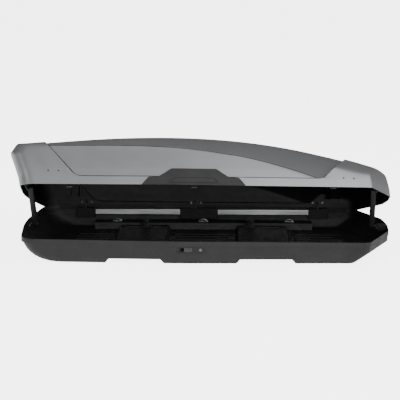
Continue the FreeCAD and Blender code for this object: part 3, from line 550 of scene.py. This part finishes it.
def build_lid():
    """Lid moulding with its recessed middle panel, as one closed mesh."""
    bm = bmesh.new()
    depths = bm.verts.layers.float.new("depth")
    add_skins(bm, depths)
    paint_faces(bm)
    sink_panel(bm, depths)
    paint_crease_shade(bm)
    bmesh.ops.scale(bm, vec=(MM, MM, MM), verts=bm.verts)
    bmesh.ops.transform(bm, matrix=TO_OPEN, verts=bm.verts)
    lid = new_object("lid_moulding", bm)
    # The third slot is the dark copy of the paint, painted shade for the grooves and the crease.
    for finish in ("lid_paint", "lid_inside", "lid_groove_shade"):
        lid.data.materials.append(MATERIALS[finish])
    shade(lid, 24)
    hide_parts("lid_shell")
    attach(lid, "lid")


# --- Materials ---------------------------------------------------------------------------
MATERIALS = {}
PLASTIC_SPREAD = 0.18       # share that the colour varies by
PLASTIC_TINT = (1.0, 1.0, 1.03)
METAL_GRAIN = 160.0
METAL_SPREAD = 0.12


def node_tree(name):
    """Fresh material with its shader node, tree and object coordinates."""
    material = bpy.data.materials.new(name)
    material.use_nodes = True
    tree = material.node_tree
    shader = tree.nodes["Principled BSDF"]
    place = tree.nodes.new("ShaderNodeTexCoord").outputs["Object"]
    MATERIALS[name] = material
    return tree, shader, place


def noise(tree, place, scale, detail=4.0, rough=0.55, stretch=None):
    """Noise value over the object, stretched along axes if wanted."""
    if stretch:
        mapping = tree.nodes.new("ShaderNodeMapping")
        mapping.inputs["Scale"].default_value = stretch
        tree.links.new(place, mapping.inputs["Vector"])
        place = mapping.outputs["Vector"]
    node = tree.nodes.new("ShaderNodeTexNoise")
    node.inputs["Scale"].default_value = scale
    node.inputs["Detail"].default_value = detail
    node.inputs["Roughness"].default_value = rough
    tree.links.new(place, node.inputs["Vector"])
    return node.outputs["Fac"]


def ramp(tree, value, low, high, start=0.3, end=0.7):
    """Colour ramp between two colours or greys over part of a value's range."""
    node = tree.nodes.new("ShaderNodeValToRGB")
    node.color_ramp.elements[0].position = start
    node.color_ramp.elements[1].position = end
    node.color_ramp.elements[0].color = (*low, 1.0)
    node.color_ramp.elements[1].color = (*high, 1.0)
    tree.links.new(value, node.inputs["Fac"])
    return node.outputs["Color"]


def grey(value):
    """A neutral colour."""
    return (value, value, value)


def bump(tree, shader, value, strength, distance, before=None):
    """Bump from a value; chains onto an earlier bump if given."""
    node = tree.nodes.new("ShaderNodeBump")
    node.inputs["Strength"].default_value = strength
    node.inputs["Distance"].default_value = distance
    tree.links.new(value, node.inputs["Height"])
    if before:
        tree.links.new(before, node.inputs["Normal"])
    tree.links.new(node.outputs["Normal"], shader.inputs["Normal"])
    return node.outputs["Normal"]


def plastic(name, colour, rough, grain, depth):
    """Moulded plastic: fine grain over a coarser one, cloudy colour and roughness."""
    tree, shader, place = node_tree(name)
    low = tuple(c * (1 - PLASTIC_SPREAD) * t for c, t in zip(grey(colour), PLASTIC_TINT))
    high = tuple(c * (1 + PLASTIC_SPREAD) * t for c, t in zip(grey(colour), PLASTIC_TINT))
    cloud = noise(tree, place, 9.0, 5.0)
    tree.links.new(ramp(tree, cloud, low, high), shader.inputs["Base Color"])
    patch = noise(tree, place, 31.0, 4.0)
    tree.links.new(ramp(tree, patch, grey(rough - 0.06), grey(rough + 0.08)),
                   shader.inputs["Roughness"])
    fine = noise(tree, place, grain, 3.0, 0.6)
    first = bump(tree, shader, fine, 0.55, depth)
    bump(tree, shader, noise(tree, place, grain / 9, 3.0), 0.25, depth * 2.5, first)
    shader.inputs["Specular IOR Level"].default_value = 0.22


def metal(name, colour, rough, stretch):
    """Drawn or plated metal with fine streaks."""
    tree, shader, place = node_tree(name)
    streak = noise(tree, place, METAL_GRAIN, 5.0, 0.6, stretch)
    low = tuple(c * (1 - METAL_SPREAD) for c in colour)
    high = tuple(min(1.0, c * (1 + METAL_SPREAD)) for c in colour)
    tree.links.new(ramp(tree, streak, low, high), shader.inputs["Base Color"])
    tree.links.new(ramp(tree, streak, grey(rough - 0.08), grey(rough + 0.1)),
                   shader.inputs["Roughness"])
    bump(tree, shader, streak, 0.25, 0.00015)
    shader.inputs["Metallic"].default_value = 1.0


def lid_paint(name, low, high):
    """Silver-grey metallic outer skin with flake sparkle and a soft clear top layer."""
    tree, shader, place = node_tree(name)
    cloud = noise(tree, place, 2.2, 3.0)
    base = ramp(tree, cloud, low, high)
    flake = tree.nodes.new("ShaderNodeTexVoronoi")
    flake.inputs["Scale"].default_value = 1500.0
    tree.links.new(place, flake.inputs["Vector"])
    mix = tree.nodes.new("ShaderNodeMix")
    mix.data_type = "RGBA"
    mix.blend_type = "OVERLAY"
    mix.inputs["Factor"].default_value = 0.10
    tree.links.new(base, mix.inputs["A"])
    tree.links.new(flake.outputs["Color"], mix.inputs["B"])
    tree.links.new(mix.outputs["Result"], shader.inputs["Base Color"])
    wave = noise(tree, place, 14.0, 3.0)
    tree.links.new(ramp(tree, wave, grey(0.36), grey(0.44)), shader.inputs["Roughness"])
    peel = bump(tree, shader, noise(tree, place, 420.0, 2.0), 0.10, 0.0004)
    bump(tree, shader, flake.outputs["Distance"], 0.05, 0.0002, peel)
    shader.inputs["Metallic"].default_value = 0.72
    shader.inputs["Coat Weight"].default_value = 0.22
    shader.inputs["Coat Roughness"].default_value = 0.28


def build_materials():
    """Every material of the object."""
    lid_paint("lid_paint", (0.170, 0.174, 0.181), (0.195, 0.199, 0.206))
    # A dark copy of the lid paint: painted shade in the panel's groove and along its crease.
    lid_paint("lid_groove_shade", (0.020, 0.021, 0.022), (0.028, 0.029, 0.030))
    plastic("lid_inside", 0.005, 0.42, 700.0, 0.0002)
    plastic("base_plastic", 0.0105, 0.50, 900.0, 0.0006)
    plastic("trim_plastic", 0.013, 0.46, 1100.0, 0.0003)
    plastic("inner_plastic", 0.006, 0.48, 900.0, 0.0003)
    plastic("mech_plastic", 0.007, 0.40, 1000.0, 0.0003)
    plastic("knob_plastic", 0.030, 0.45, 1000.0, 0.0003)
    metal("bar_aluminium", (0.60, 0.61, 0.62), 0.36, (0.02, 1.0, 1.0))
    metal("bright_steel", (0.38, 0.385, 0.39), 0.28, (1.0, 1.0, 0.1))
    metal("pin_steel", (0.10, 0.10, 0.105), 0.34, (0.1, 1.0, 1.0))
    metal("bracket_steel", (0.045, 0.046, 0.048), 0.42, (1.0, 1.0, 0.2))
    metal("dark_fastener", (0.05, 0.05, 0.052), 0.45, (1.0, 1.0, 1.0))


FINISH = {
    "near_lid_brackets": "mech_plastic",
    "near_hinge_studs": "dark_fastener",
    "near_bracket_screws": "dark_fastener",
    "near_key_barrel": "pin_steel",
    "far_key_barrel": "pin_steel",
}


def dress_cad_nodes():
    """Give each carried-over CAD node its material and softened edges."""
    slots = {p["node"]: p["material_slot"] for p in frame["record"]["subparts"]}
    for name, obj in frame["nodes"].items():
        slot = FINISH.get(name, slots[name])
        material = MATERIALS.get(slot, MATERIALS["mech_plastic"])
        obj.data.materials.clear()
        obj.data.materials.append(material)
        weld = obj.modifiers.new("weld", "WELD")
        weld.merge_threshold = WELD_GAP
        width = SHELL_EDGE if name == "base_shell" else NODE_EDGE
        soften(obj, width, 2, 32).harden_normals = True


# --- Handle trims ----------------------------------------------------------------------------
def slab_between(front, back):
    """Closed bmesh between two matching grids of points."""
    bm = bmesh.new()
    rows, columns = len(front), len(front[0])
    a = [[bm.verts.new(p) for p in line] for line in front]
    b = [[bm.verts.new(p) for p in line] for line in back]
    for r in range(rows - 1):
        for c in range(columns - 1):
            bm.faces.new([a[r][c], a[r][c + 1], a[r + 1][c + 1], a[r + 1][c]])
            bm.faces.new([b[r][c], b[r + 1][c], b[r + 1][c + 1], b[r][c + 1]])
    edge = [(0, c) for c in range(columns)]
    edge += [(r, columns - 1) for r in range(1, rows)]
    edge += [(rows - 1, c) for c in range(columns - 2, -1, -1)]
    edge += [(r, 0) for r in range(rows - 2, 0, -1)]
    for k, (r, c) in enumerate(edge):
        r2, c2 = edge[(k + 1) % len(edge)]
        bm.faces.new([a[r][c], b[r][c], b[r2][c2], a[r2][c2]])
    bmesh.ops.recalc_face_normals(bm, faces=bm.faces)
    return bm


def apply_modifiers(obj):
    """Bake an object's modifiers into its mesh."""
    graph = bpy.context.evaluated_depsgraph_get()
    mesh = bpy.data.meshes.new_from_object(obj.evaluated_get(graph))
    obj.modifiers.clear()
    obj.data = mesh


def fine_stations():
    """Trim outline as closely spaced (distance, height) stations."""
    outline = [(-s, t) for s, t in reversed(TRIM_PROFILE[1:])] + TRIM_PROFILE
    along = [s for s, _ in outline]
    count = int((along[-1] - along[0]) / TRIM_GRAIN)
    spots = sorted(set(np.linspace(along[0], along[-1], count)) | set(along))
    return [(spot, float(np.interp(spot, along, [t for _, t in outline]))) for spot in spots]


def grip_depth(station, height):
    """Depth of the finger recess at a spot of the trim, with a short slope at its edge."""
    end = GRIP_HALF - abs(station) - (height - GRIP_LOW) * GRIP_SLANT
    edge = min(height - GRIP_LOW, GRIP_TOP - height, end * GRIP_COSINE)
    return GRIP_DEPTH * max(0.0, min(1.0, edge / GRIP_SLOPE))


def build_trim(side_name, side):
    """Handle trim: a raised plate on the lid's side with a finger recess below."""
    front, back = [], []
    for row in range(TRIM_ROWS + 1):
        front_line, back_line = [], []
        for station, top in fine_stations():
            x = TRIM_X + station
            height = (top + LID_OVERLAP) * row / TRIM_ROWS - LID_OVERLAP
            z = rim_height(x) + height
            depth = grip_depth(station, height) - TRIM_PROUD
            front_line.append(Vector((x, side * float(wall_y(x, z, depth)), z)))
            back_line.append(Vector((x, side * float(wall_y(x, z, TRIM_SUNK)), z)))
        front.append(front_line)
        back.append(back_line)
    trim = new_object(side_name + "_trim_plate", slab_between(front, back))
    for v in trim.data.vertices:
        v.co = TO_OPEN @ (v.co * MM)
    soften(trim, TRIM_EDGE, 3, 60)
    apply_modifiers(trim)
    trim.data.materials.append(MATERIALS["trim_plastic"])
    shade(trim, 26)
    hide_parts(side_name + "_handle_trim")
    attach(trim, "lid")


# --- Braces and lifter arms -------------------------------------------------------------------
def build_member(end):
    """Hat-section brace that keeps under both the cap and the middle panel."""
    node = end + "_cross_member"
    low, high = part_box(node)
    centre = (low[0] + high[0]) / 2 / MM
    sheets = []
    for thick in (0.0, MEMBER_THICK):
        rows = []
        for offset, drop in MEMBER_PROFILE:
            x = centre + offset
            depth = LID_WALL + MEMBER_GAP + drop + thick
            foot = rim_height(x) + MEMBER_FOOT
            knee = float(wall_y(x, shoulder_height(x, PANEL_SHOULDER), depth + PANEL_STEP))
            half = []
            for step in range(MEMBER_STEPS + 1):
                y = knee * math.sin(math.pi / 2 * step / MEMBER_STEPS)
                under_cap = top_height(x, y, depth)
                under_panel = top_height(x, y, depth + PANEL_STEP, PANEL_SHOULDER)
                half.append((y, max(foot + MEMBER_LEAST, float(min(under_cap, under_panel)))))
            top = half[-1][1]
            for step in range(1, LEG_STEPS + 1):
                z = top + (foot - top) * step / LEG_STEPS
                half.append((float(wall_y(x, z, depth + PANEL_STEP)), z))
            line = [Vector((x, -y, z)) for y, z in reversed(half[1:])]
            line += [Vector((x, y, z)) for y, z in half]
            rows.append([TO_OPEN @ (point * MM) for point in line])
        sheets.append(rows)
    member = new_object(end + "_brace", slab_between(*sheets))
    member.data.materials.append(MATERIALS["inner_plastic"])
    shade(member, 30)
    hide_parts(node)
    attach(member, "lid")


def arm_loop(foot, end, inset, x):
    """Points round the arm's tapered outline, at a distance along X from its middle."""
    foot_r, tip_r = ARM_RADII[0] - inset, ARM_RADII[1] - inset
    turn = math.acos((foot_r - tip_r) / ARM_LENGTH)
    lean = math.radians(ARM_LEAN)
    points = []
    for start, sweep, radius, base in ((-turn, 2 * turn, tip_r, ARM_LENGTH),
                                       (turn, 2 * math.pi - 2 * turn, foot_r, 0.0)):
        for step in range(ARM_STEPS + 1):
            angle = start + sweep * step / ARM_STEPS
            s, t = base + radius * math.cos(angle), radius * math.sin(angle)
            side = ARM_LEAN_X[end] * s / ARM_LENGTH
            up = s * math.cos(lean) + t * math.sin(lean)
            across = t * math.cos(lean) - s * math.sin(lean)
            points.append((foot + Vector((x + side, across, up))) * MM)
    return points


def build_arm(end, out):
    """Lifter arm: a tapered tub, open towards the load, with its web at the outside."""
    foot = Vector(joint(end + "_lifter_swing")["pos_m"]) / MM
    outer_x, inner_x = out * ARM_OUTER, -out * ARM_INNER
    web_x = outer_x - out * ARM_WEB
    spots = ((0.0, outer_x), (0.0, inner_x), (ARM_WALL, inner_x), (ARM_WALL, web_x))
    loops = [arm_loop(foot, end, inset, x) for inset, x in spots]
    bm = bmesh.new()
    rings = [[bm.verts.new(p) for p in loop] for loop in loops]
    bm.faces.new(rings[0])
    bm.faces.new(rings[-1])
    for first, second in zip(rings, rings[1:]):
        for i in range(len(first)):
            j = (i + 1) % len(first)
            bm.faces.new([first[i], first[j], second[j], second[i]])
    bmesh.ops.recalc_face_normals(bm, faces=bm.faces)
    arm = new_object(end + "_arm_moulding", bm)
    soften(arm, ARM_EDGE, 2, 50)
    apply_modifiers(arm)
    arm.data.materials.append(MATERIALS["mech_plastic"])
    shade(arm, 30)
    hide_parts(end + "_lifter_arm")
    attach(arm, end + "_lifter")


# --- Stage -------------------------------------------------------------------------------------
CAMERA = {"place": (0.135, -5.945, 1.535), "turn": 1.41, "down": 12.11, "lens": 95.7}
FLOOR_SIZE = 400.0
FLOOR_Z = -0.001
FLOOR_GREY = 0.40
FLOOR_GLOW = 1.6            # brightness of the floor as a light
FLOOR_SEEN = 4.5            # and as the camera sees it
GLOW_FADE = (0.75, 1.7)     # the glow fades between these places along X
GLOW_LEFT = 0.05
SKY_TOWARDS = (0.76, -0.85, 0.16)
SKY_STRENGTH = 3.7
SKY_GREYS = (0.03, 1.0)
SKY_SPAN = (0.48, 0.97)
LIGHTS = [                  # name, place, size, power, aim, seen in reflections
    ("top_light", (0.0, 0.0, 6.0), (8.0, 8.0), 560.0, (0.0, 0.0, 0.0), False),
    ("key_light", (1.4, -5.0, 2.6), (2.0, 1.2), 60.0, (0.4, 0.0, 0.3), True),
    ("rear_fill", (-4.0, -3.0, 1.6), (2.0, 1.5), 30.0, (-0.6, 0.0, 0.2), True),
]


def build_floor():
    """Pale floor that glows less towards the nose and looks bright to the camera."""
    bpy.ops.mesh.primitive_plane_add(size=FLOOR_SIZE, location=(0, 0, FLOOR_Z))
    floor = bpy.context.object
    floor.name = "floor"
    material = bpy.data.materials.new("floor_white")
    material.use_nodes = True
    tree = material.node_tree
    shader = tree.nodes["Principled BSDF"]
    shader.inputs["Base Color"].default_value = (*grey(FLOOR_GREY), 1.0)
    shader.inputs["Roughness"].default_value = 0.8
    shader.inputs["Specular IOR Level"].default_value = 0.1
    shader.inputs["Emission Color"].default_value = (1.0, 1.0, 1.0, 1.0)
    place = tree.nodes.new("ShaderNodeTexCoord").outputs["Object"]
    split = tree.nodes.new("ShaderNodeSeparateXYZ")
    tree.links.new(place, split.inputs["Vector"])
    fade = tree.nodes.new("ShaderNodeMapRange")
    fade.inputs["From Min"].default_value = GLOW_FADE[0]
    fade.inputs["From Max"].default_value = GLOW_FADE[1]
    fade.inputs["To Min"].default_value = FLOOR_GLOW
    fade.inputs["To Max"].default_value = FLOOR_GLOW * GLOW_LEFT
    tree.links.new(split.outputs["X"], fade.inputs["Value"])
    sight = tree.nodes.new("ShaderNodeLightPath").outputs["Is Camera Ray"]
    glow = tree.nodes.new("ShaderNodeMix")
    glow.inputs["B"].default_value = FLOOR_SEEN
    tree.links.new(sight, glow.inputs["Factor"])
    tree.links.new(fade.outputs["Result"], glow.inputs["A"])
    tree.links.new(glow.outputs["Result"], shader.inputs["Emission Strength"])
    floor.data.materials.append(material)


def build_lights():
    """Soft rectangular lamps."""
    for name, place, size, power, aim, mirrored in LIGHTS:
        lamp = bpy.data.lights.new(name, "AREA")
        lamp.shape = "RECTANGLE"
        lamp.size, lamp.size_y = size
        lamp.energy = power
        obj = bpy.data.objects.new(name, lamp)
        obj.location = place
        obj.rotation_euler = (Vector(aim) - Vector(place)).to_track_quat("-Z", "Y").to_euler()
        obj.visible_glossy = mirrored
        bpy.context.scene.collection.objects.link(obj)


def build_surroundings():
    """Surroundings that are bright in one direction and dark away from it."""
    world = bpy.data.worlds.new("surroundings")
    world.use_nodes = True
    tree = world.node_tree
    coords = tree.nodes.new("ShaderNodeTexCoord")
    front = tree.nodes.new("ShaderNodeVectorMath")
    front.operation = "DOT_PRODUCT"
    front.inputs[1].default_value = SKY_TOWARDS
    tree.links.new(coords.outputs["Generated"], front.inputs[0])
    sky = ramp(tree, front.outputs["Value"], grey(SKY_GREYS[0]), grey(SKY_GREYS[1]), *SKY_SPAN)
    tree.links.new(sky, tree.nodes["Background"].inputs["Color"])
    tree.nodes["Background"].inputs["Strength"].default_value = SKY_STRENGTH
    bpy.context.scene.world = world


def build_camera():
    """Camera at the listed viewing angle."""
    camera = bpy.data.cameras.new("camera")
    camera.lens = CAMERA["lens"]
    camera.sensor_width = 36.0
    obj = bpy.data.objects.new("camera", camera)
    obj.location = CAMERA["place"]
    obj.rotation_euler = (math.radians(90.0 - CAMERA["down"]), 0.0, math.radians(CAMERA["turn"]))
    bpy.context.scene.collection.objects.link(obj)
    bpy.context.scene.camera = obj


# --- Build -------------------------------------------------------------------------------
build_materials()
dress_cad_nodes()
build_lid()
for side_name, side in (("near", -1), ("far", 1)):
    build_trim(side_name, side)
for end, out in (("rear", -1), ("front", 1)):
    build_member(end)
    build_arm(end, out)
build_floor()
build_lights()
build_surroundings()
build_camera()
